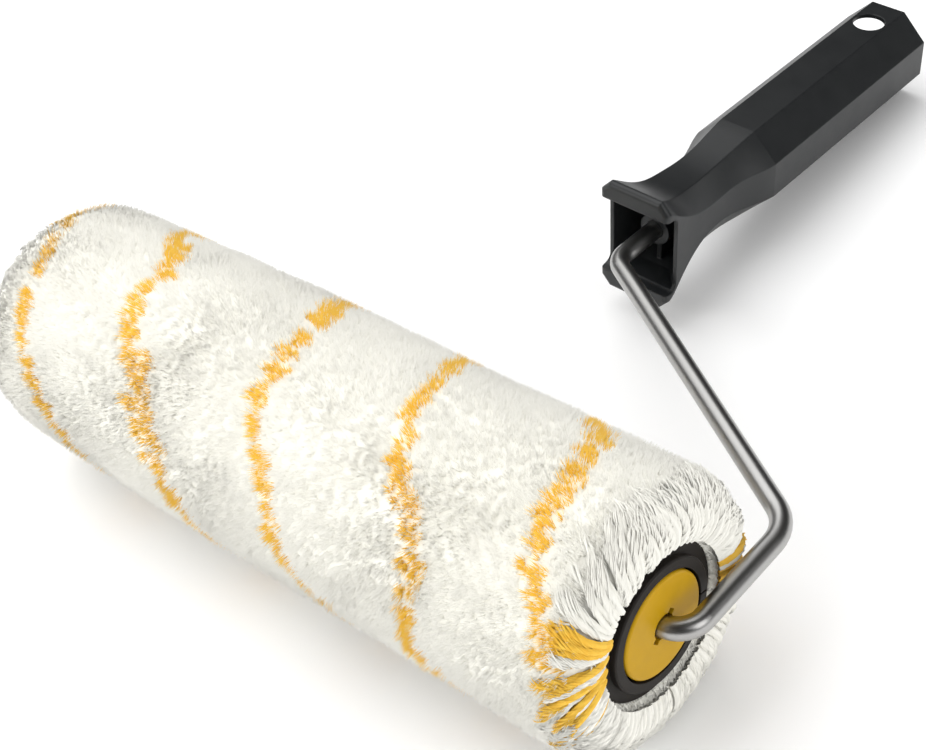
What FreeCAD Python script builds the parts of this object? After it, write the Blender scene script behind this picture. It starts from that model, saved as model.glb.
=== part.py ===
import FreeCAD, Part
import math
import os

# Paint roller: a spiral-wound long-pile cover on two end bearings, a bent steel rod frame
# and a hollow moulded handle. Millimetres. The drawing frame has the cover's axis on X
# with the near cap at x = 0, and the rod frame lies in the XY plane; place() then tips
# the whole part onto the floor.

V = FreeCAD.Vector
X_AXIS = V(1, 0, 0)
Y_AXIS = V(0, 1, 0)
Z_AXIS = V(0, 0, 1)
ORIGIN = V(0, 0, 0)

# Cover
COVER_LENGTH = 250.0
CORE_OUTER_RADIUS = 23.2
CORE_WALL = 1.6
BACKING_THICKNESS = 0.8
PILE_DEPTH = 18.8
PILE_END_ROUNDING = 12.0
PILE_OVERHANG = 1.5
PILE_COLLAR_HEIGHT = 2.2

# Rod frame: where its corners stand off the cover, and its bends
ROD_RADIUS = 3.3
CAP_BEND_RADIUS = 8.0
OUTER_BEND_RADIUS = 16.0
NOSE_BEND_RADIUS = 9.0
CAP_CORNER_PAST_BEND = 0.1
OUTER_CORNER_SETBACK = 2.0
OUTER_CORNER_GAP = 7.0
NOSE_CORNER_OFFSET = 12.9
NOSE_CORNER_GAP = 81.1
SHANK_LENGTH = 112.0
SHANK_LEAN = 0.56
ROD_TIP_CHAMFER = 0.8
EAR_STANDING = 1.4
EAR_LENGTH = 5.0
EAR_THICKNESS = 1.8
EAR_END_PLAY = 0.4

# End caps
FLANGE_LIP = 0.5
FLANGE_THICKNESS = 2.4
FLANGE_SETBACK = 1.6
FLANGE_BEVEL = 0.5
RING_SPIGOT_LENGTH = 18.0
RING_SPIGOT_WALL = 2.0
RING_WEB_DEPTH = 3.4
RING_WEB_THICKNESS = 3.0
RING_SLIT_WIDTH = 0.5
RING_SLIT_DEPTH = 1.2
RING_SLIT_ANGLE = -7.0
RING_SLIT_OVERCUT = 1.0
RING_COLLAR_WIDTH = 3.2
RING_COLLAR_HEIGHT = 2.3
RING_COLLAR_BEVEL = 0.4
DISC_INSET = 5.6
DISC_PROUD = 2.6
DISC_PLATE = 3.6
DISC_EDGE_RADIUS = 1.0
DISC_GAP = 0.7
HUB_INSET = 3.4
HUB_LENGTH = 6.4
SLEEVE_WALL = 4.2
SLEEVE_LENGTH = 22.0
EYE_GAP = 0.6
EYE_DEPTH = 3.0
NOTCH_DEPTH = 1.4
NOTCH_WIDTH = 2.4
NOTCH_ANGLE = 42.0

# Handle, measured from the nose corner of the rod along the shank
GRIP_HALF_WIDTH = 16.7
GRIP_START = 70.0
HANDLE_LENGTH = 170.7
HANDLE_ROLL = 4.74
WALL = 1.6
NOSE_WALL = 1.5
LIP_FRONT = 9.2
LIP_WIDTH_SHARE = 0.814
LIP_HEIGHT_SHARE = 1.377
LIP_ROUNDING = 4.0
LIP_EDGE_RADIUS = 1.8
CHEEK_DEPTH = 5.8
CHEEK_WIDTH_SHARE = 0.856
CHEEK_HEIGHT_SHARE = 0.922
CHEEK_CORNER = 3.0
MOUTH_STEP = 0.4
BULKHEAD_SETBACK = 8.0
BULKHEAD_THICKNESS = 11.2
BOSS_START = 21.5
BOSS_WALL = 2.6
BOSS_OVERRUN = 5.5
RIB_THICKNESS = 2.0
RIB_INSET = 3.0
SHANK_END_GAP = 0.5
HANG_HOLE_RADIUS = 6.0
HANG_HOLE_INSET = 14.1

# Clearances, and how far a cutter runs past the face that it opens
RUNNING_CLEARANCE = 0.05
SEAT_CLEARANCE = 0.05
OVERCUT = 5.0

# A regular octagon's flats are this share of its half width either side of their middle.
OCTAGON_FLAT = math.tan(math.radians(22.5))

CORE_BORE = CORE_OUTER_RADIUS - CORE_WALL
BACKING_RADIUS = CORE_OUTER_RADIUS + SEAT_CLEARANCE + BACKING_THICKNESS
PILE_INNER_RADIUS = BACKING_RADIUS + SEAT_CLEARANCE
PILE_RADIUS = PILE_INNER_RADIUS + PILE_DEPTH
FLANGE_RADIUS = CORE_OUTER_RADIUS + FLANGE_LIP
FLANGE_BACK = -FLANGE_SETBACK - FLANGE_THICKNESS
DISC_RADIUS = CORE_BORE - DISC_INSET
DISC_FRONT = DISC_PROUD - FLANGE_SETBACK
HUB_RADIUS = DISC_RADIUS - HUB_INSET
EYE_RADIUS = ROD_RADIUS + EYE_GAP
NOTCH_REACH = EYE_RADIUS + NOTCH_DEPTH
EAR_REACH = ROD_RADIUS + EAR_STANDING
CAP_CORNER_X = CAP_BEND_RADIUS + CAP_CORNER_PAST_BEND
OUTER_CORNER = V(CAP_CORNER_X - OUTER_CORNER_SETBACK, PILE_RADIUS + OUTER_CORNER_GAP, 0)
NOSE_CORNER = V(NOSE_CORNER_OFFSET - COVER_LENGTH / 2, PILE_RADIUS + NOSE_CORNER_GAP, 0)
BOSS_RADIUS = ROD_RADIUS + BOSS_WALL
BOSS_END = SHANK_LENGTH + BOSS_OVERRUN
LIP_HALF_WIDTH = LIP_WIDTH_SHARE * GRIP_HALF_WIDTH
LIP_HALF_HEIGHT = LIP_HEIGHT_SHARE * GRIP_HALF_WIDTH
CHEEK_HALF_WIDTH = CHEEK_WIDTH_SHARE * GRIP_HALF_WIDTH
CHEEK_HALF_HEIGHT = CHEEK_HEIGHT_SHARE * GRIP_HALF_WIDTH
CHEEK_FRONT = LIP_FRONT + CHEEK_DEPTH
MOUTH_HALF_HEIGHT = CHEEK_HALF_HEIGHT - MOUTH_STEP
BULKHEAD_START = GRIP_START - BULKHEAD_SETBACK


def tube(outer, inner, start, end):
    """A plain tube along X."""
    body = Part.makeCylinder(outer, end - start, V(start, 0, 0), X_AXIS)
    hole = Part.makeCylinder(inner, end - start + 2 * OVERCUT, V(start - OVERCUT, 0, 0), X_AXIS)
    return body.cut(hole)


def turned(profile):
    """Turn a closed outline of (x, radius) points, or arcs, once round X."""
    return Part.Face(Part.Wire(profile)).revolve(ORIGIN, X_AXIS, 360)


def outline(points):
    """Straight edges through (x, radius) points, closed."""
    corners = [V(x, r, 0) for x, r in points]
    return Part.makePolygon(corners + corners[:1]).Edges


def mirrored_cap(shape):
    """The same moulding, fitted to the cover's other end."""
    return shape.mirror(V(-COVER_LENGTH / 2, 0, 0), X_AXIS)


def core_tube():
    return tube(CORE_OUTER_RADIUS, CORE_BORE, -COVER_LENGTH - FLANGE_BACK, FLANGE_BACK)


def backing():
    inner = CORE_OUTER_RADIUS + SEAT_CLEARANCE
    return tube(BACKING_RADIUS, inner, -COVER_LENGTH - FLANGE_BACK, FLANGE_BACK)


def pile():
    """The yarn as one cushion: rounded shoulders, and a shallow dish at each cap."""
    inner = PILE_INNER_RADIUS
    dish = inner + PILE_COLLAR_HEIGHT
    near = PILE_OVERHANG
    far = -COVER_LENGTH - PILE_OVERHANG
    bend = PILE_END_ROUNDING * (1 - math.sqrt(0.5))
    shoulder = PILE_RADIUS - PILE_END_ROUNDING
    near_arc = Part.Arc(V(near - PILE_END_ROUNDING, PILE_RADIUS, 0),
                        V(near - bend, PILE_RADIUS - bend, 0), V(near, shoulder, 0)).toShape()
    far_arc = Part.Arc(V(far, shoulder, 0), V(far + bend, PILE_RADIUS - bend, 0),
                       V(far + PILE_END_ROUNDING, PILE_RADIUS, 0)).toShape()
    lines = [
        [V(near, shoulder, 0), V(near, dish, 0)],
        [V(near, dish, 0), V(-FLANGE_SETBACK, inner, 0)],
        [V(-FLANGE_SETBACK, inner, 0), V(FLANGE_SETBACK - COVER_LENGTH, inner, 0)],
        [V(FLANGE_SETBACK - COVER_LENGTH, inner, 0), V(far, dish, 0)],
        [V(far, dish, 0), V(far, shoulder, 0)],
    ]
    edges = [Part.makeLine(a, b) for a, b in lines]
    top = Part.makeLine(V(far + PILE_END_ROUNDING, PILE_RADIUS, 0),
                        V(near - PILE_END_ROUNDING, PILE_RADIUS, 0))
    return turned(Part.__sortEdges__(edges + [near_arc, far_arc, top]))


def cap_ring():
    """Flange over the tube's end with a raised collar, a spigot and a web that holds the disc."""
    face = -FLANGE_SETBACK
    front = face + RING_COLLAR_HEIGHT
    spigot = CORE_BORE - SEAT_CLEARANCE
    window = DISC_RADIUS + DISC_GAP
    web_front = face - RING_WEB_DEPTH
    web_back = web_front - RING_WEB_THICKNESS
    collar = window + RING_COLLAR_WIDTH
    points = [
        (front, window),
        (front, collar - RING_COLLAR_BEVEL),
        (front - RING_COLLAR_BEVEL, collar),
        (face, collar),
        (face, FLANGE_RADIUS - FLANGE_BEVEL),
        (face - FLANGE_BEVEL, FLANGE_RADIUS),
        (FLANGE_BACK, FLANGE_RADIUS),
        (FLANGE_BACK, spigot),
        (FLANGE_BACK - RING_SPIGOT_LENGTH, spigot),
        (FLANGE_BACK - RING_SPIGOT_LENGTH, spigot - RING_SPIGOT_WALL),
        (web_back, spigot - RING_SPIGOT_WALL),
        (web_back, HUB_RADIUS + SEAT_CLEARANCE),
        (web_front, HUB_RADIUS + SEAT_CLEARANCE),
        (web_front, window),
    ]
    ring = turned(outline(points))
    slit = Part.makeBox(RING_SLIT_DEPTH + OVERCUT, FLANGE_RADIUS, RING_SLIT_WIDTH,
                        V(front - RING_SLIT_DEPTH, window - RING_SLIT_OVERCUT, -RING_SLIT_WIDTH / 2))
    slit.rotate(ORIGIN, X_AXIS, RING_SLIT_ANGLE)
    return ring.cut(slit)


def bearing_disc():
    """Raised round face, a hub in the ring's web and a long sleeve that runs on the rod."""
    plate_back = DISC_FRONT - DISC_PLATE
    sleeve_back = plate_back - SLEEVE_LENGTH
    plate = Part.makeCylinder(DISC_RADIUS, DISC_PLATE, V(plate_back, 0, 0), X_AXIS)
    rims = [e for e in plate.Edges if abs(e.CenterOfMass.x - DISC_FRONT) < 0.01 and e.Closed]
    plate = plate.makeFillet(DISC_EDGE_RADIUS, rims)
    hub = Part.makeCylinder(HUB_RADIUS, HUB_LENGTH, V(plate_back - HUB_LENGTH, 0, 0), X_AXIS)
    sleeve = Part.makeCylinder(ROD_RADIUS + SLEEVE_WALL, SLEEVE_LENGTH, V(sleeve_back, 0, 0), X_AXIS)
    disc = plate.fuse(hub).fuse(sleeve).removeSplitter()
    reach = DISC_FRONT - sleeve_back + 2 * OVERCUT
    start = sleeve_back - OVERCUT
    bore = Part.makeCylinder(ROD_RADIUS + RUNNING_CLEARANCE, reach, V(start, 0, 0), X_AXIS)
    eye = Part.makeCylinder(EYE_RADIUS, EYE_DEPTH + OVERCUT, V(DISC_FRONT - EYE_DEPTH, 0, 0), X_AXIS)
    notch = Part.makeBox(reach, 2 * NOTCH_REACH, NOTCH_WIDTH, V(start, -NOTCH_REACH, -NOTCH_WIDTH / 2))
    notch.rotate(ORIGIN, X_AXIS, NOTCH_ANGLE)
    return disc.cut(bore).cut(eye).cut(notch)


def shank_point(distance):
    """A point on the shank's axis, a distance past the nose corner."""
    lean = math.radians(SHANK_LEAN)
    return NOSE_CORNER + V(-math.sin(lean), math.cos(lean), 0) * distance


def rounded_path(corners, radii):
    """Straight runs joined by tangent arcs."""
    edges = []
    start = corners[0]
    for before, corner, after, radius in zip(corners, corners[1:], corners[2:], radii):
        back = (before - corner).normalize()
        ahead = (after - corner).normalize()
        half = back.getAngle(ahead) / 2
        run = radius / math.tan(half)
        bisector = (back + ahead).normalize()
        middle = corner + bisector * (radius / math.sin(half) - radius)
        edges.append(Part.makeLine(start, corner + back * run))
        edges.append(Part.Arc(corner + back * run, middle, corner + ahead * run).toShape())
        start = corner + ahead * run
    edges.append(Part.makeLine(start, corners[-1]))
    return Part.Wire(edges)


def rod_tip(shape, point, radius):
    """Break the sharp edge round a cut rod end."""
    rims = [e for e in shape.Edges if e.CenterOfMass.distanceToPoint(point) < 0.01 and e.Closed]
    return shape.makeChamfer(radius, rims)


def wire_frame():
    tip = V(-COVER_LENGTH - DISC_FRONT, 0, 0)
    corners = [tip, V(CAP_CORNER_X, 0, 0), OUTER_CORNER, NOSE_CORNER, shank_point(SHANK_LENGTH)]
    path = rounded_path(corners, [CAP_BEND_RADIUS, OUTER_BEND_RADIUS, NOSE_BEND_RADIUS])
    section = Part.Wire([Part.makeCircle(ROD_RADIUS, tip, X_AXIS)])
    rod = path.makePipeShell([section], True, True)
    rod = rod_tip(rod, tip, ROD_TIP_CHAMFER)
    rod = rod_tip(rod, corners[-1], ROD_TIP_CHAMFER)
    ear_x = DISC_FRONT - DISC_PLATE - SLEEVE_LENGTH - EAR_LENGTH - EAR_END_PLAY
    ears = Part.makeBox(EAR_LENGTH, EAR_THICKNESS, 2 * EAR_REACH, V(ear_x, -EAR_THICKNESS / 2, -EAR_REACH))
    corners_of_ears = [e for e in ears.Edges if abs(e.tangentAt(e.FirstParameter).y) > 0.99]
    ears = ears.makeChamfer(EAR_THICKNESS / 2, corners_of_ears)
    return rod.fuse(ears)


def octagon(y, width, height, top_flat, side_flat, shrink=0.0):
    """One cross-section of the handle, half sizes, optionally offset inwards."""
    w = width - shrink
    h = height - shrink
    a = top_flat - shrink * OCTAGON_FLAT
    b = side_flat - shrink * OCTAGON_FLAT
    ring = [(a, h), (w, b), (w, -b), (a, -h), (-a, -h), (-w, -b), (-w, b), (-a, h)]
    return Part.makePolygon([V(x, y, z) for x, z in ring + ring[:1]])


def neck_sections():
    """The neck from the grip's shoulder through the waist to the flared nose."""
    flat = GRIP_HALF_WIDTH * OCTAGON_FLAT
    g = GRIP_HALF_WIDTH
    lip = LIP_HALF_HEIGHT
    top = LIP_HALF_WIDTH
    cheek = CHEEK_HALF_HEIGHT
    shares = [
        (1.0, g, g, flat, flat),
        (0.918, 0.93 * g, 0.97 * g, 0.97 * flat, 0.96 * flat),
        (0.836, 0.83 * g, 0.93 * g, 0.93 * flat, 0.94 * flat),
        (0.704, 0.71 * g, 0.87 * g, 0.88 * flat, 0.85 * flat),
        (0.539, 0.69 * g, 0.84 * g, 0.90 * flat, 0.76 * flat),
        (0.391, 0.72 * g, 0.87 * g, 0.97 * flat, 0.92 * flat),
        (0.260, 0.77 * g, 0.94 * g, 1.03 * flat, 1.35 * flat),
        (0.128, 0.97 * CHEEK_HALF_WIDTH, 0.82 * lip, 0.64 * top, 0.93 * cheek),
        (0.054, CHEEK_HALF_WIDTH, 0.94 * lip, 0.75 * top, 1.13 * cheek),
        (0.0, top, lip, 0.82 * top, lip - LIP_ROUNDING),
    ]
    return [(LIP_FRONT + share * (GRIP_START - LIP_FRONT), *sizes) for share, *sizes in shares]


def slab(half_x, y0, y1, half_z):
    return Part.makeBox(2 * half_x, y1 - y0, 2 * half_z, V(-half_x, y0, -half_z))


def handle_outside():
    grip_section = neck_sections()[0][1:]
    grip = Part.makeLoft([octagon(y, *grip_section) for y in (GRIP_START, HANDLE_LENGTH)], True, True)
    neck = Part.makeLoft([octagon(*s) for s in neck_sections()], True, False)
    body = grip.fuse(neck)
    front = [e for e in body.Edges if all(abs(v.Point.y - LIP_FRONT) < 0.01 for v in e.Vertexes)]
    return body.makeFillet(LIP_EDGE_RADIUS, front)


def handle_mouth():
    """Room cut out of the nose: set-back cheeks and a box-like hollow that tapers inwards."""
    front = LIP_FRONT - OVERCUT
    wide = 2 * GRIP_HALF_WIDTH
    cheek = slab(wide, front, CHEEK_FRONT, CHEEK_HALF_HEIGHT)
    corners = [e for e in cheek.Edges
               if abs(e.tangentAt(e.FirstParameter).x) > 0.99 and e.CenterOfMass.y > LIP_FRONT]
    cheek = cheek.makeFillet(CHEEK_CORNER, corners)
    inner = [octagon(*s, NOSE_WALL) for s in neck_sections()[1:]]
    hollow = Part.makeLoft(inner, True, False)
    doorway = slab(LIP_HALF_WIDTH - NOSE_WALL, front, LIP_FRONT + MOUTH_STEP, MOUTH_HALF_HEIGHT)
    hollow = hollow.fuse(doorway).common(slab(wide, front, BULKHEAD_START, MOUTH_HALF_HEIGHT))
    return cheek.fuse(hollow)


def handle_socket():
    """The hollow grip, open at the butt, for the threaded end of an extension pole."""
    flat = GRIP_HALF_WIDTH * OCTAGON_FLAT
    inner = [octagon(y, GRIP_HALF_WIDTH, GRIP_HALF_WIDTH, flat, flat, WALL)
             for y in (BULKHEAD_START + BULKHEAD_THICKNESS, HANDLE_LENGTH + OVERCUT)]
    return Part.makeLoft(inner, True, True)


def handle():
    outside = handle_outside()
    shell = outside.cut(handle_mouth()).cut(handle_socket())
    boss = Part.makeCylinder(BOSS_RADIUS, BOSS_END - BOSS_START, V(0, BOSS_START, 0), Y_AXIS)
    rib_end = BOSS_END - RIB_INSET
    upright = slab(RIB_THICKNESS / 2, BOSS_START + RIB_INSET, rib_end, LIP_HALF_HEIGHT)
    level = slab(GRIP_HALF_WIDTH, BULKHEAD_START + RIB_INSET, rib_end, RIB_THICKNESS / 2)
    ribs = upright.fuse(level).common(outside)
    body = shell.fuse(ribs).fuse(boss)
    bore_start = BOSS_START - OVERCUT
    bore_end = SHANK_LENGTH + SHANK_END_GAP
    bore_radius = ROD_RADIUS + SEAT_CLEARANCE
    shank = Part.makeCylinder(bore_radius, bore_end - bore_start, V(0, bore_start, 0), Y_AXIS)
    hang_y = HANDLE_LENGTH - HANG_HOLE_INSET
    wide = 2 * GRIP_HALF_WIDTH
    hang = Part.makeCylinder(HANG_HOLE_RADIUS, 2 * wide, V(0, hang_y, -wide), Z_AXIS)
    body = body.cut(shank).cut(hang)
    body.rotate(ORIGIN, Y_AXIS, HANDLE_ROLL)
    body.rotate(ORIGIN, Z_AXIS, SHANK_LEAN)
    body.translate(NOSE_CORNER)
    return body


def tip_angle():
    """How far the frame leans down so that the cover and the butt both touch the floor."""
    roll = math.radians(HANDLE_ROLL)
    butt_y = shank_point(HANDLE_LENGTH).y
    butt_low = GRIP_HALF_WIDTH * (math.cos(roll) + OCTAGON_FLAT * math.sin(roll))
    reach = math.hypot(butt_y, butt_low)
    return math.degrees(math.asin(PILE_RADIUS / reach) - math.atan2(butt_low, butt_y))


def place(shapes):
    """Tip the part onto the floor and centre its box on the origin."""
    for shape in shapes.values():
        shape.rotate(ORIGIN, X_AXIS, -tip_angle())
    box = FreeCAD.BoundBox()
    for shape in shapes.values():
        box.add(shape.optimalBoundingBox(False, False))
    for shape in shapes.values():
        shape.translate(V(-box.Center.x, -box.Center.y, -box.ZMin))


def build():
    near_ring = cap_ring()
    near_disc = bearing_disc()
    return {
        "handle": handle(),
        "wire_frame": wire_frame(),
        "core_tube": core_tube(),
        "cover_backing": backing(),
        "pile": pile(),
        "near_cap_ring": near_ring,
        "near_bearing_disc": near_disc,
        "far_cap_ring": mirrored_cap(near_ring),
        "far_bearing_disc": mirrored_cap(near_disc),
    }


os.makedirs("parts", exist_ok=True)
pieces = build()
place(pieces)
for node, shape in pieces.items():
    shape.Solids[0].exportStep("parts/" + node + ".step")
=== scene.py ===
import math

import bpy
import numpy as np
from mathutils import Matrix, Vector


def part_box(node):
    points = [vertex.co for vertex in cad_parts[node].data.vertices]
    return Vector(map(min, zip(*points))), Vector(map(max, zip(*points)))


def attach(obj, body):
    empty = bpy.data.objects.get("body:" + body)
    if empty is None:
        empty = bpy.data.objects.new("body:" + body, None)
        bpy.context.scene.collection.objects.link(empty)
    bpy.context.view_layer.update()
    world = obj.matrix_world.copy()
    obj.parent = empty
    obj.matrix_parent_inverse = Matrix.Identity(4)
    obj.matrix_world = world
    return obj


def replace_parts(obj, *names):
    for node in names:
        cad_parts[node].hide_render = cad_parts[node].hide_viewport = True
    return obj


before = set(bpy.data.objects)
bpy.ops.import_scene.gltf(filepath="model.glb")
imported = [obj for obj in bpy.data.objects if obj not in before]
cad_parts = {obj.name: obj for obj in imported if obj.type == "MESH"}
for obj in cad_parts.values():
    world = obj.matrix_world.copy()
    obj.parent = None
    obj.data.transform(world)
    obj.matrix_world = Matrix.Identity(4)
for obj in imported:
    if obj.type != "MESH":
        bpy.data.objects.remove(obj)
scene = bpy.context.scene
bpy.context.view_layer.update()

# ---------------------------------------------------------------------------
# Handle: one hollow moulding in charcoal polypropylene with a fine satin
# grain. It is pushed over the rod's shank, and its boss and ribs grip the
# rod from inside.
# ---------------------------------------------------------------------------


def new_material(name):
    """A node material with no nodes yet, and its tree."""
    material = bpy.data.materials.new(name)
    material.use_nodes = True
    material.node_tree.nodes.clear()
    return material, material.node_tree


def set_inputs(tree, node, inputs):
    """Set a node's sockets by name; another node's socket as the value is linked instead."""
    for key, value in inputs.items():
        socket = node.inputs[key.replace("_", " ")]
        if isinstance(value, bpy.types.NodeSocket):
            tree.links.new(value, socket)
        else:
            socket.default_value = value
    return node


def add_node(tree, kind, **inputs):
    return set_inputs(tree, tree.nodes.new(kind), inputs)


def add_group(tree, group, **inputs):
    node = tree.nodes.new("ShaderNodeGroup")
    node.node_tree = group
    return set_inputs(tree, node, inputs)


def add_range(tree, value, from_min, from_max, to_min, to_max):
    """The value moved from one range to another, and held inside the new one."""
    node = add_node(tree, "ShaderNodeMapRange", Value=value, From_Min=from_min, From_Max=from_max,
                    To_Min=to_min, To_Max=to_max)
    return node.outputs["Result"]


def finish_surface(tree, shader):
    add_node(tree, "ShaderNodeOutputMaterial", Surface=shader.outputs[0])


def grain_group():
    """Node group: moulded grain, eased edges and handling scuffs, on the piece's own metres."""
    group = bpy.data.node_groups.new("moulded_grain", "ShaderNodeTree")
    for name in ("Grain Scale", "Scuff Scale", "Bump Distance", "Edge Radius"):
        group.interface.new_socket(name, in_out="INPUT", socket_type="NodeSocketFloat")
    group.interface.new_socket("Scuff", in_out="OUTPUT", socket_type="NodeSocketFloat")
    group.interface.new_socket("Normal", in_out="OUTPUT", socket_type="NodeSocketVector")
    given = group.nodes.new("NodeGroupInput").outputs
    where = add_node(group, "ShaderNodeTexCoord").outputs["Object"]
    fine = add_node(group, "ShaderNodeTexNoise", Vector=where, Scale=given["Grain Scale"],
                    Detail=3.0, Roughness=0.6)
    broad = add_node(group, "ShaderNodeTexNoise", Vector=where, Scale=given["Scuff Scale"],
                     Detail=5.0, Roughness=0.65)
    eased = add_node(group, "ShaderNodeBevel", Radius=given["Edge Radius"])
    eased.samples = 6
    bump = add_node(group, "ShaderNodeBump", Strength=1.0, Height=fine.outputs["Fac"],
                    Distance=given["Bump Distance"], Normal=eased.outputs["Normal"])
    add_node(group, "NodeGroupOutput", Scuff=broad.outputs["Fac"], Normal=bump.outputs["Normal"])
    return group


GRAIN = grain_group()
SCUFF_SCALE = 90.0
SCUFF_TINT = 0.06
SCUFF_ROUGH = 0.04


def moulded_plastic(name, color, rough, grain_scale, bump, edge, specular=0.5):
    """Injection-moulded plastic: even colour, fine grain, slightly polished where handled."""
    material, tree = new_material(name)
    grain = add_group(tree, GRAIN, Grain_Scale=grain_scale, Scuff_Scale=SCUFF_SCALE,
                      Bump_Distance=bump, Edge_Radius=edge).outputs
    tint = add_range(tree, grain["Scuff"], 0.3, 0.7, 1.0 - SCUFF_TINT, 1.0 + SCUFF_TINT)
    roughness = add_range(tree, grain["Scuff"], 0.3, 0.7, rough - SCUFF_ROUGH, rough + SCUFF_ROUGH)
    shade = add_node(tree, "ShaderNodeVectorMath", Vector=color)
    shade.operation = "SCALE"
    tree.links.new(tint, shade.inputs["Scale"])
    plastic = add_node(tree, "ShaderNodeBsdfPrincipled", Base_Color=shade.outputs["Vector"],
                       Roughness=roughness, Specular_IOR_Level=specular, Normal=grain["Normal"])
    finish_surface(tree, plastic)
    return material


def dress(node, material):
    """Give a CAD node its one material."""
    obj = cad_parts[node]
    obj.data.materials.clear()
    obj.data.materials.append(material)


HANDLE_CHARCOAL = moulded_plastic("handle_charcoal", (0.013, 0.0145, 0.0155), 0.42,
                                  grain_scale=2600.0, bump=0.00002, edge=0.0007)
dress("handle", HANDLE_CHARCOAL)

# ---------------------------------------------------------------------------
# Rod frame: 6.6 mm bright drawn steel wire, bent cold. It carries the cover on
# its straight end and runs up into the handle's boss. The draw lines and the
# wear from use make its shine a little uneven.
# ---------------------------------------------------------------------------
ROD_STEEL, tree = new_material("rod_bright_steel")
where = add_node(tree, "ShaderNodeTexCoord").outputs["Object"]
draw = add_node(tree, "ShaderNodeTexNoise", Vector=where, Scale=700.0, Detail=4.0, Roughness=0.7)
wear = add_node(tree, "ShaderNodeTexNoise", Vector=where, Scale=45.0, Detail=4.0)
bump = add_node(tree, "ShaderNodeBump", Strength=0.35, Distance=0.00002, Height=draw.outputs["Fac"])
steel = add_node(tree, "ShaderNodeBsdfPrincipled", Metallic=1.0, Normal=bump.outputs["Normal"],
                 Base_Color=(0.44, 0.435, 0.425, 1),
                 Roughness=add_range(tree, wear.outputs["Fac"], 0.0, 1.0, 0.30, 0.40))
finish_surface(tree, steel)
dress("wire_frame", ROD_STEEL)

# ---------------------------------------------------------------------------
# Cap rings: dark grey-brown nylon mouldings with a raised collar. One is
# pressed into each end of the core tube, and its flange covers the tube's end.
# ---------------------------------------------------------------------------
CAP_DARK = moulded_plastic("cap_dark", (0.019, 0.0155, 0.013), 0.55,
                           grain_scale=2200.0, bump=0.000015, edge=0.0004, specular=0.2)
dress("near_cap_ring", CAP_DARK)
dress("far_cap_ring", CAP_DARK)

# ---------------------------------------------------------------------------
# Bearing discs: golden-yellow acetal bushes, pressed into the cap rings. They
# turn on the rod with the cover.
# ---------------------------------------------------------------------------
BEARING_GOLDEN = moulded_plastic("bearing_golden", (0.55, 0.315, 0.008), 0.34,
                                 grain_scale=1500.0, bump=0.00001, edge=0.0003, specular=0.12)
dress("near_bearing_disc", BEARING_GOLDEN)
dress("far_bearing_disc", BEARING_GOLDEN)

# ---------------------------------------------------------------------------
# Core tube and backing: an extruded plastic tube with the woven fabric of the
# cover wound round it and glued on. Both are hidden inside the pile.
# ---------------------------------------------------------------------------
CORE_PLAIN = moulded_plastic("core_plain", (0.52, 0.52, 0.48), 0.5,
                             grain_scale=1800.0, bump=0.00002, edge=0.0002)
BACKING_WOVEN = moulded_plastic("backing_woven", (0.62, 0.58, 0.47), 0.9,
                                grain_scale=900.0, bump=0.0002, edge=0.0002)
dress("core_tube", CORE_PLAIN)
dress("cover_backing", BACKING_WOVEN)

# ---------------------------------------------------------------------------
# Pile: long polyamide yarns knotted through the backing. White yarn with two
# orange-yellow yarns wound in with it, which show as broken spiral stripes.
# Each yarn stands out from the backing and ends in a brush of loose fibres.
# ---------------------------------------------------------------------------
# The disc's eye stands proud of the cover's cut end.
EYE_PROUD = 0.0010
near_disc_low, near_disc_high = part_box("near_bearing_disc")
AXIS_Y = (near_disc_low.y + near_disc_high.y) / 2
AXIS_Z = (near_disc_low.z + near_disc_high.z) / 2
NEAR_X = near_disc_high.x - EYE_PROUD
LENGTH = NEAR_X - (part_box("far_bearing_disc")[0].x + EYE_PROUD)
ROOT_RADIUS = 0.0245
TIP_RADIUS = 0.0424
SHOULDER = 0.0125

# Strands that reach the floor lie flat just above it.
FLOOR_GAP = 0.0002


def streaks_group():
    """Node group: the fine fibre streaks of yarn, between a deep and a bright colour."""
    group = bpy.data.node_groups.new("fibre_streaks", "ShaderNodeTree")
    for name in ("Deep", "Bright"):
        group.interface.new_socket(name, in_out="INPUT", socket_type="NodeSocketColor")
    group.interface.new_socket("Color", in_out="OUTPUT", socket_type="NodeSocketColor")
    given = group.nodes.new("NodeGroupInput").outputs
    where = add_node(group, "ShaderNodeTexCoord").outputs["Object"]
    noise = add_node(group, "ShaderNodeTexNoise", Vector=where, Scale=420.0, Detail=3.0, Roughness=0.6)
    blend = add_node(group, "ShaderNodeMixRGB", Color1=given["Deep"], Color2=given["Bright"],
                     Fac=add_range(group, noise.outputs["Fac"], 0.3, 0.65, 0.0, 1.0))
    add_node(group, "NodeGroupOutput", Color=blend.outputs["Color"])
    return group


STREAKS = streaks_group()


def yarn_material(name, deep, bright):
    """Soft matt yarn: fine fibre streaks, no shine beyond a faint sheen."""
    material, tree = new_material(name)
    streaks = add_group(tree, STREAKS, Deep=(*deep, 1), Bright=(*bright, 1))
    yarn = add_node(tree, "ShaderNodeBsdfPrincipled", Base_Color=streaks.outputs["Color"],
                    Roughness=0.85, Sheen_Weight=0.15, Specular_IOR_Level=0.2)
    finish_surface(tree, yarn)
    return material


WHITE_YARN = yarn_material("yarn_white", (0.935, 0.92, 0.84), (0.97, 0.955, 0.88))
YELLOW_YARN = yarn_material("yarn_yellow", (0.95, 0.53, 0.045), (1.0, 0.64, 0.09))


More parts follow.
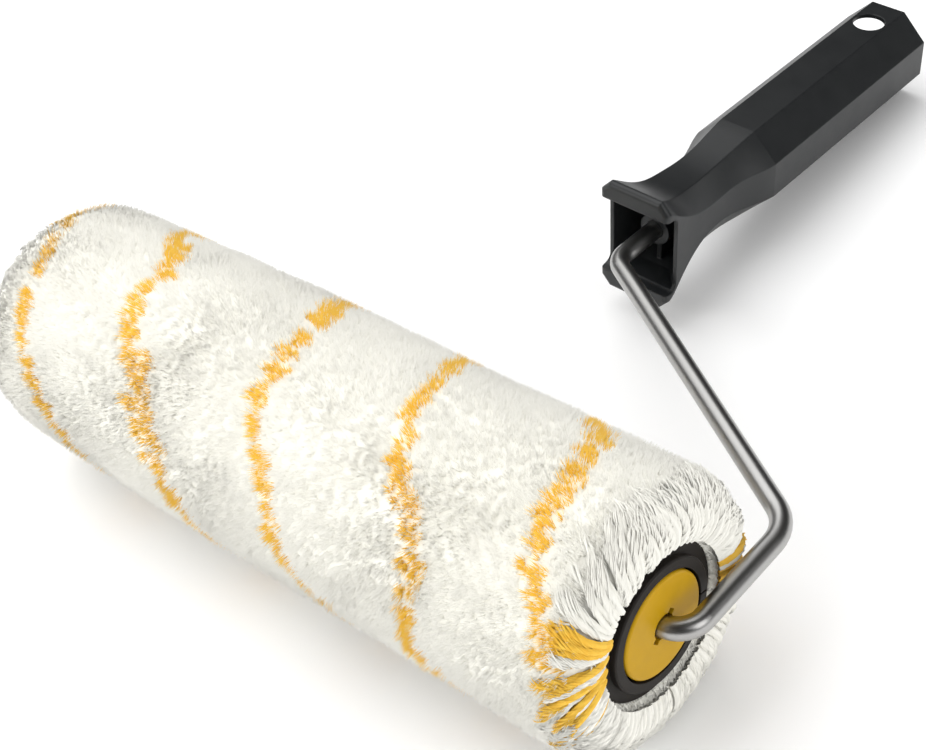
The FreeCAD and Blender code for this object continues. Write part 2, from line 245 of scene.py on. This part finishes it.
def wander(points, scale, seed):
    """Smooth seeded noise, about -1..1, at points of shape (n, 3), for one feature size."""
    waves = 14
    draws = np.random.default_rng(seed)
    total = np.zeros(len(points))
    for _ in range(waves):
        wave = draws.normal(size=3)
        wave *= 2 * math.pi / (scale * np.linalg.norm(wave)) * draws.uniform(0.6, 1.5)
        total += np.sin(points @ wave + draws.uniform(0, 2 * math.pi))
    return total / math.sqrt(waves / 2)


def radial(angle):
    return np.stack([np.zeros_like(angle), np.cos(angle), np.sin(angle)], 1)


def around(angle):
    return np.stack([np.zeros_like(angle), -np.sin(angle), np.cos(angle)], 1)


def to_world(x, angle, radius):
    """x is measured back from the near end, so it runs from 0 to -LENGTH."""
    return np.stack([NEAR_X + x, AXIS_Y + radius * np.cos(angle), AXIS_Z + radius * np.sin(angle)], 1)


def outward(points):
    """The direction straight out of the rounded cushion that the pile makes, at each point."""
    x = points[:, 0] - NEAR_X
    y, z = points[:, 1] - AXIS_Y, points[:, 2] - AXIS_Z
    distance = np.maximum(np.hypot(y, z), 1e-6)
    ends = np.maximum(x + SHOULDER, 0) - np.maximum(SHOULDER - LENGTH - x, 0)
    out = np.maximum(distance - (TIP_RADIUS - SHOULDER), 0.002)
    way = np.stack([ends, out * y / distance, out * z / distance], 1)
    return way / np.linalg.norm(way, axis=1, keepdims=True)


def strand_sides(line, across, sides):
    """Unit vectors out of the sides of each strand at each point, and along its centre line."""
    along = np.gradient(line, axis=1)
    along /= np.linalg.norm(along, axis=2, keepdims=True)
    u = across[:, None, :] - along * (along @ across[:, :, None])
    u /= np.linalg.norm(u, axis=2, keepdims=True)
    v = np.cross(along, u)
    turn = np.arange(sides) * 2 * math.pi / sides
    return u[:, :, None] * np.cos(turn)[:, None] + v[:, :, None] * np.sin(turn)[:, None], along


def strand_faces(points, sides):
    """Corners, face starts and bake map of one strand: four-sided faces, then a fan to its tip."""
    rows = range(points - 2)
    last, tip = (points - 2) * sides, (points - 1) * sides
    here = np.arange(sides)
    after = (here + 1) % sides
    zero = here * 0
    quads = np.concatenate([np.stack([i * sides + here, i * sides + after, (i + 1) * sides + after,
                                      (i + 1) * sides + here], 1) for i in rows])
    fan = np.stack([last + here, last + after, zero + tip], 1)
    quads_u = np.concatenate([np.stack([here, here + 1, here + 1, here], 1) for _ in rows]) / sides
    quads_v = np.concatenate([np.stack([zero + i, zero + i, zero + i + 1, zero + i + 1], 1)
                              for i in rows]) / (points - 1)
    fan_u = np.stack([here, here + 1, here + 0.5], 1) / sides
    fan_v = np.stack([zero + points - 2, zero + points - 2, zero + points - 1], 1) / (points - 1)
    corners = np.concatenate([quads.ravel(), fan.ravel()])
    starts = np.concatenate([np.arange(len(quads)) * 4, len(quads) * 4 + here * 3])
    u = np.concatenate([quads_u.ravel(), fan_u.ravel()])
    v = np.concatenate([quads_v.ravel(), fan_v.ravel()])
    return corners, starts, u, v


def strand_mesh(name, families, yarn, cushion=0.6):
    """One mesh of closed, tapering strands, which turns with the cover.

    A family is (centre lines, radii, number of sides, side vectors). Each strand has its own
    cell of the bake map. Cushion is the share of the shading normals taken from the pile's
    rounded outside, so that the loose fibres look like one soft surface.
    """
    cells = math.ceil(math.sqrt(sum(len(family[0]) for family in families)))
    places, corners, starts, maps, facing = [], [], [], [], []
    vertices = edges = strands = 0
    for line, radius, sides, across in families:
        count, points, _ = line.shape
        ring, along = strand_sides(line, across, sides)
        walls = line[:, :-1, None, :] + ring[:, :-1] * radius[:, :-1, None, None]
        place = np.concatenate([walls.reshape(count, -1, 3), line[:, -1:, :]], axis=1)
        out = np.concatenate([ring[:, :-1].reshape(count, -1, 3), along[:, -1:, :]], axis=1)
        pattern, first, u, v = strand_faces(points, sides)
        each = np.arange(count)[:, None]
        cell = strands + each
        corners.append((vertices + each * place.shape[1] + pattern).ravel())
        starts.append((edges + each * len(pattern) + first).ravel())
        maps.append(np.stack([(cell % cells + 0.12 + 0.76 * u) / cells,
                              (cell // cells + 0.12 + 0.76 * v) / cells], 2).reshape(-1, 2))
        places.append(place.reshape(-1, 3))
        facing.append(out.reshape(-1, 3))
        vertices += count * place.shape[1]
        edges += count * len(pattern)
        strands += count
    places, corners, starts, maps, facing = (
        np.concatenate(part) for part in (places, corners, starts, maps, facing))
    places[:, 2] = np.maximum(places[:, 2], FLOOR_GAP)
    mesh = bpy.data.meshes.new(name)
    mesh.vertices.add(len(places))
    mesh.vertices.foreach_set("co", places.astype(np.float32).ravel())
    mesh.loops.add(len(corners))
    mesh.loops.foreach_set("vertex_index", corners.astype(np.int32))
    mesh.polygons.add(len(starts))
    mesh.polygons.foreach_set("loop_start", starts.astype(np.int32))
    mesh.update(calc_edges=True)
    mesh.uv_layers.new(name="OFBake")
    mesh.uv_layers["OFBake"].data.foreach_set("uv", maps.astype(np.float32).ravel())
    mesh.shade_smooth()
    mesh.validate()
    mesh.normals_split_custom_set_from_vertices(facing * (1 - cushion) + outward(places) * cushion)
    mesh.materials.append(yarn)
    obj = bpy.data.objects.new(name, mesh)
    scene.collection.objects.link(obj)
    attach(obj, "cover")
    return obj


def tip_profile(x):
    """How far out the pile reaches along the cover: a little fuller in the middle, soft shoulders."""
    full = TIP_RADIUS + 0.0009 * np.exp(-((x + 0.150) / 0.045) ** 2)
    full -= 0.0016 * np.clip((-0.205 - x) / 0.045, 0, 1) ** 2
    inset = np.minimum(0.0015 - x, x + LENGTH + 0.0015)
    short = np.clip(SHOULDER - inset, 0, SHOULDER)
    return full - SHOULDER + np.sqrt(SHOULDER ** 2 - short ** 2)


# The stripes, in millimetres along the cover and round its outside, and in degrees.
STRIPE_SPACING = 54.0
STRIPE_START = 158.7
STRIPE_RISE = 0.3
ARC_PER_DEGREE = 0.75
BLOCK = 7.8
STRIPE_SEED = 5

# Where the fabric was wound off its line: shift, place along, width, turn, spread.
STRAYS = [
    (-9, -205, 18, 55, 24),
    (-5, -178, 16, 145, 50),
    (-5.5, -124, 13, 118, 18),
    (3, -125, 13, 78, 16),
    (7, -55, 10, 145, 22),
    (4, -25, 12, 85, 30),
]


def is_striped(x, angle):
    """Two-start spiral of coloured yarn, broken into short blocks along its line."""
    mm = x * 1000
    turn = np.degrees(angle) + 5.0
    drift = 4.5 * np.cos(2 * math.pi * (mm + 130) / 190)
    for shift, along, width, middle, spread in STRAYS:
        drift += shift * np.exp(-((turn - middle) / spread) ** 2 - ((mm - along) / width) ** 2)
    half = STRIPE_SPACING / 2
    travel = mm - drift + STRIPE_START - STRIPE_RISE * turn + half
    off_line = travel % STRIPE_SPACING - half
    stripe = np.floor(travel / STRIPE_SPACING)
    arc = turn * ARC_PER_DEGREE
    block = np.floor(arc / BLOCK)
    chances = np.random.default_rng(STRIPE_SEED).uniform(size=(4096, 4))
    pick = chances[(block * 31 + stripe * 17 + STRIPE_SEED).astype(int) % 4096]
    middle = (block + 0.5) * BLOCK + (pick[:, 0] - 0.5) * 1.6
    side = (pick[:, 1] - 0.5) * 3.2
    half_width = 3.4 + 2.0 * pick[:, 2]
    half_arc = 3.1 + 1.4 * pick[:, 3]
    return ((off_line - side) / half_width) ** 2 + ((arc - middle) / half_arc) ** 2 < 1


# Yarns over the whole tube, on a jittered grid of rows.
ROWS, AROUND = 122, 124
rng = np.random.default_rng(11)
row, column = np.meshgrid(np.arange(ROWS), np.arange(AROUND), indexing="ij")
row, column = row.ravel().astype(float), column.ravel().astype(float)
root_x = -(row + 0.5 + rng.uniform(-0.35, 0.35, row.size)) / ROWS * LENGTH
root_angle = (column + 0.5 * (row % 2) + rng.uniform(-0.35, 0.35, row.size)) / AROUND * 2 * math.pi
at = to_world(root_x, root_angle, np.full(row.size, TIP_RADIUS))

# Yarns near a cut end lean back from it, so the shoulder is round.
LEAN_REACH = 0.014
LEAN_BACK = 0.0045
near_share = np.clip(1 + root_x / LEAN_REACH, 0, 1)
far_share = np.clip(1 - (root_x + LENGTH) / LEAN_REACH, 0, 1)
lean_x = LEAN_BACK * (far_share - near_share)
lean_x = lean_x + 0.0016 * wander(at, 0.060, 1) + 0.0009 * wander(at, 0.022, 2)
lean_x += rng.normal(0, 0.0004, row.size)
lean_round = 0.0016 * wander(at, 0.060, 3) + 0.0009 * wander(at, 0.022, 4)
lean_round += rng.normal(0, 0.0004, row.size)
reach = tip_profile(np.clip(root_x + lean_x, -LENGTH - 0.001, 0.001)) - ROOT_RADIUS
reach += 0.0002 * wander(at, 0.020, 6) + rng.normal(0, 0.00015, row.size)


def yarn_point(height):
    """Centre-line point at a share of the yarn's height; the lean grows towards the tip."""
    point = to_world(root_x, root_angle, np.full(row.size, ROOT_RADIUS))
    lean = height ** 1.8
    point += radial(root_angle) * (reach * height)[:, None]
    point += around(root_angle) * (lean_round * lean)[:, None]
    point[:, 0] += lean_x * lean
    return point


def fibres(low, mid, top, angle, per_yarn, seed, flare=0.0021):
    """Loose fibres that fan out of the top of each yarn, given three points up each yarn."""
    thick = 0.00016
    draws = np.random.default_rng(seed)
    low, mid, top, angle = (np.repeat(v, per_yarn, axis=0) for v in (low, mid, top, angle))
    count = len(angle)
    turn = draws.uniform(0, 2 * math.pi, count)
    direction = top - mid
    direction /= np.linalg.norm(direction, axis=1, keepdims=True)
    tangent = around(angle)
    edge = np.cross(tangent, direction)
    fan = edge * np.cos(turn)[:, None] + tangent * np.sin(turn)[:, None]
    width = np.sqrt(draws.uniform(0.0, 1.0, count))[:, None]
    extra = draws.uniform(-0.0010, 0.0, count)[:, None]
    line = np.stack([low + fan * width * 0.0007, mid + fan * width * 0.0010,
                     top + fan * width * flare + direction * extra], 1)
    radius = np.tile([thick, thick * 0.9, 0.0], (count, 1))
    return line, radius, 3, fan + 0.3 * tangent


FIBRES_PER_YARN = 17
body_line = np.stack([yarn_point(height) for height in (0.45, 0.60, 0.73, 0.82)], 1)
body_radius = np.tile([0.0009, 0.0009, 0.0007, 0.0], (row.size, 1))
brush_points = [yarn_point(height) for height in (0.60, 0.82, 1.0)]
striped = is_striped(root_x, root_angle)


def yarns(name, chosen, yarn, seed):
    """The short bodies of the chosen yarns, and the brush of loose fibres on each."""
    angle = root_angle[chosen]
    bodies = (body_line[chosen], body_radius[chosen], 5, around(angle))
    brushes = fibres(*(point[chosen] for point in brush_points), angle, FIBRES_PER_YARN, seed)
    return strand_mesh(name, [bodies, brushes], yarn)


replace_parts(yarns("pile_white", ~striped, WHITE_YARN, 21), "pile")
yarns("pile_yellow", striped, YELLOW_YARN, 22)

# ---------------------------------------------------------------------------
# Pile bed: the dense undergrowth of the pile, seen only as depth between the
# yarns. It rounds over each cut end just under the collar strands, down to the
# cap ring.
# ---------------------------------------------------------------------------
BED_TURNS = 96
BED_DEPTH = 0.0032
END_X = -0.0105
BED_END_RADIUS = 0.0296
BED_HALF_X = 0.0112
BED_HALF_RADIUS = 0.0098
phi = np.radians(np.linspace(-28, 84, 12))
end_x = np.concatenate([[-0.0034, -0.0012], END_X + BED_HALF_X * np.cos(phi)])
end_radius = np.concatenate([[0.0238, 0.0240], BED_END_RADIUS + BED_HALF_RADIUS * np.sin(phi)])
middle_x = np.linspace(-0.014, 0.014 - LENGTH, 52)
bed_x = np.concatenate([end_x, middle_x, -LENGTH - end_x[::-1]])
bed_radius = np.concatenate([end_radius, tip_profile(middle_x) - BED_DEPTH, end_radius[::-1]])
bed_angle = np.linspace(0, 2 * math.pi, BED_TURNS, endpoint=False)
bed_places = []
for x, radius in zip(bed_x, bed_radius):
    bed_places += to_world(np.full(BED_TURNS, x), bed_angle, radius).tolist()
bed_faces = []
for i in range(len(bed_x) - 1):
    for j in range(BED_TURNS):
        after = (j + 1) % BED_TURNS
        low, high = i * BED_TURNS, (i + 1) * BED_TURNS
        bed_faces.append((low + j, low + after, high + after, high + j))
bed_mesh = bpy.data.meshes.new("pile_bed")
bed_mesh.from_pydata(bed_places, [], bed_faces)
bed_mesh.shade_smooth()
bed_mesh.materials.append(WHITE_YARN)
bed = bpy.data.objects.new("pile_bed", bed_mesh)
scene.collection.objects.link(bed)
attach(bed, "cover")

# ---------------------------------------------------------------------------
# Collars: the last yarns at each cut end. They are long twisted strands that
# are bound to the backing under the cap ring, fan out of it and lie over the
# shoulder, with short fluff where they leave the backing.
# ---------------------------------------------------------------------------
COLLAR_LAYERS, COLLAR_PER_LAYER = 3, 98
COLLAR_RADIUS = 0.0300
COLLAR_HALF_X = 0.0133
COLLAR_HALF_RADIUS = 0.0123
COLLAR_FIRST = math.radians(-27)
COLLAR_POINTS = 15
TWISTED_FIBRES = 14
TWISTS = 1.7
FLUFF = 4600


def collar_paths(near, seed, draws):
    """Angle, turned angle and centre line of each strand, from the ring out over the shoulder."""
    count = COLLAR_LAYERS * COLLAR_PER_LAYER
    spot = np.tile(np.arange(COLLAR_PER_LAYER), COLLAR_LAYERS) + draws.uniform(-0.5, 0.5, count)
    angle = spot / COLLAR_PER_LAYER * 2 * math.pi
    layer = np.repeat(np.arange(COLLAR_LAYERS), COLLAR_PER_LAYER) / (COLLAR_LAYERS - 1.0)
    swirl = 0.20 * wander(radial(angle) * 0.042, 0.050, seed + 1) + draws.normal(0, 0.045, count)
    share = np.linspace(0, 1, COLLAR_POINTS)
    last = np.radians((62 if near else 34) + 16 * layer + draws.normal(0, 8, count))
    phi = COLLAR_FIRST + (last[:, None] - COLLAR_FIRST) * share
    shrink = (0.0004 + 0.0011 * layer + np.abs(draws.normal(0, 0.0004, count)))[:, None]
    x = END_X + (COLLAR_HALF_X - shrink) * np.cos(phi)
    radius = COLLAR_RADIUS + (COLLAR_HALF_RADIUS - shrink) * np.sin(phi)
    if not near:
        x = -LENGTH - x
        radius = np.where(radius > 0.030, 0.030 + (radius - 0.030) * 0.8, radius)
    turned = angle[:, None] + swirl[:, None] * share ** 1.6
    centre = np.stack([NEAR_X + x, AXIS_Y + radius * np.cos(turned), AXIS_Z + radius * np.sin(turned)], 2)
    return angle, turned, centre


def collar_twist(angle, turned, centre, draws):
    """The strands' tapered cores, and the fibres that twist round each."""
    count = len(angle)
    share = np.linspace(0, 1, COLLAR_POINTS)
    along = np.gradient(centre, axis=1)
    along /= np.linalg.norm(along, axis=2, keepdims=True)
    u = around(turned.ravel()).reshape(count, -1, 3)
    v = np.cross(along, u)
    core = 0.00088 * np.sqrt(np.maximum(0, 1 - (share / 0.93) ** 4))
    core_radius = np.tile(core, (count, 1)) * draws.uniform(0.8, 1.15, count)[:, None]
    families = [(centre, core_radius, 6, around(angle))]
    soft_end = np.where(share < 0.8, 1.0, np.sqrt(np.maximum(0, 1 - ((share - 0.8) / 0.2) ** 2)))
    for fibre in range(TWISTED_FIBRES):
        start = 2 * math.pi * (fibre + draws.uniform(0, 1, count)) / TWISTED_FIBRES
        out = 0.00078 + draws.normal(0, 0.00016, count)
        turn = start[:, None] + share * (2 * math.pi * TWISTS) + draws.normal(0, 0.25, count)[:, None]
        loose = draws.uniform(0.3, 1.5, count)
        spread = out[:, None] * (0.8 + loose[:, None] * share ** 2.5)
        line = centre + spread[:, :, None] * (u * np.cos(turn)[:, :, None] + v * np.sin(turn)[:, :, None])
        families.append((line, np.tile(0.00019 * soft_end, (count, 1)), 3, around(angle)))
    return families


def collar_fluff(near, draws):
    """Short fluff on the bed's rounded end, where the strands leave the backing."""
    way = 1.0 if near else -1.0
    angle = draws.uniform(0, 2 * math.pi, FLUFF)
    phi = np.radians(draws.uniform(-38, 8, FLUFF))
    radius = BED_END_RADIUS + BED_HALF_RADIUS * np.sin(phi)
    x = (0.0 if near else -LENGTH) + way * (END_X - 0.0002 + BED_HALF_X * np.cos(phi))
    root = to_world(x, angle, radius)
    lie = around(angle) * draws.normal(0, 0.0014, FLUFF)[:, None]
    lie += radial(angle) * draws.uniform(0.0004, 0.0016, FLUFF)[:, None]
    lie[:, 0] += way * draws.uniform(0.0004, 0.0020, FLUFF)
    bulge = np.array([way * 0.0004, 0, 0])
    line = np.stack([root, root + lie * 0.5 + bulge, root + lie], 1)
    return line, np.tile([0.00024, 0.00020, 0.0], (FLUFF, 1)), 3, around(angle)


def collar(end, near, seed):
    """One end's collar: a white mesh, and a yellow one where a stripe runs off the end."""
    draws = np.random.default_rng(seed)
    angle, turned, centre = collar_paths(near, seed, draws)
    edge = np.full(len(angle), 0.0 if near else -LENGTH)
    inward = -0.001 if near else 0.001
    coloured = is_striped(edge + inward, angle) | is_striped(edge + 3 * inward, angle)
    families = [(family, coloured) for family in collar_twist(angle, turned, centre, draws)]
    per_strand = 12
    brush = fibres(centre[:, 8], centre[:, 11], centre[:, 14], angle, per_strand, seed + 2, flare=0.0016)
    families.append((brush, np.repeat(coloured, per_strand)))
    families.append((collar_fluff(near, draws), np.repeat(False, FLUFF)))
    for colour, wanted, yarn in (("white", False, WHITE_YARN), ("yellow", True, YELLOW_YARN)):
        picked = []
        for (line, radius, sides, across), marks in families:
            keep = marks == wanted
            if keep.any():
                picked.append((line[keep], radius[keep], sides, across[keep]))
        strand_mesh("collar_" + colour + "_" + end, picked, yarn, cushion=0.7)


collar("near", True, 31)
collar("far", False, 47)

# ---------------------------------------------------------------------------
# Studio: a long lens above the near end, a white floor, and three soft boxes
# in an even white room.
# ---------------------------------------------------------------------------
lens = bpy.data.cameras.new("camera")
lens.sensor_width = 36.0
lens.sensor_fit = "HORIZONTAL"
lens.lens = 67.57
lens.clip_start = 0.01
camera = bpy.data.objects.new("camera", lens)
camera.location = (0.32263, -0.33750, 0.40069)
camera.rotation_euler = (math.radians(47.7315), math.radians(10.1354), math.radians(41.5262))
scene.collection.objects.link(camera)
scene.camera = camera

floor_mesh = bpy.data.meshes.new("floor")
floor_mesh.from_pydata([(-4, -4, 0), (4, -4, 0), (4, 4, 0), (-4, 4, 0)], [], [(0, 1, 2, 3)])
FLOOR_WHITE, tree = new_material("floor_white")
paper = add_node(tree, "ShaderNodeBsdfPrincipled", Roughness=0.9, Base_Color=(0.95, 0.95, 0.95, 1))
finish_surface(tree, paper)
floor_mesh.materials.append(FLOOR_WHITE)
floor = bpy.data.objects.new("floor", floor_mesh)
scene.collection.objects.link(floor)


def softbox(name, location, size, power):
    """A soft box that points at the middle of the cover."""
    data = bpy.data.lights.new(name, "AREA")
    data.shape = "RECTANGLE"
    data.size, data.size_y = size
    data.energy = power
    obj = bpy.data.objects.new(name, data)
    obj.location = location
    to_cover = Vector((0, 0, 0.03)) - Vector(location)
    obj.rotation_euler = to_cover.to_track_quat("-Z", "Y").to_euler()
    scene.collection.objects.link(obj)


softbox("key", (-0.7, 0.2, 1.4), (1.8, 1.8), 20)
softbox("front", (-0.45, -1.25, 0.65), (1.2, 0.9), 10.5)
softbox("fill", (1.35, 0.1, 0.75), (0.9, 0.9), 6)
world = bpy.data.worlds.new("studio")
scene.world = world
world.use_nodes = True
world.node_tree.nodes["Background"].inputs["Color"].default_value = (1, 1, 1, 1)
world.node_tree.nodes["Background"].inputs["Strength"].default_value = 0.58
world.cycles_visibility.glossy = False
scene.view_settings.view_transform = "Standard"
scene.cycles.diffuse_bounces = 12
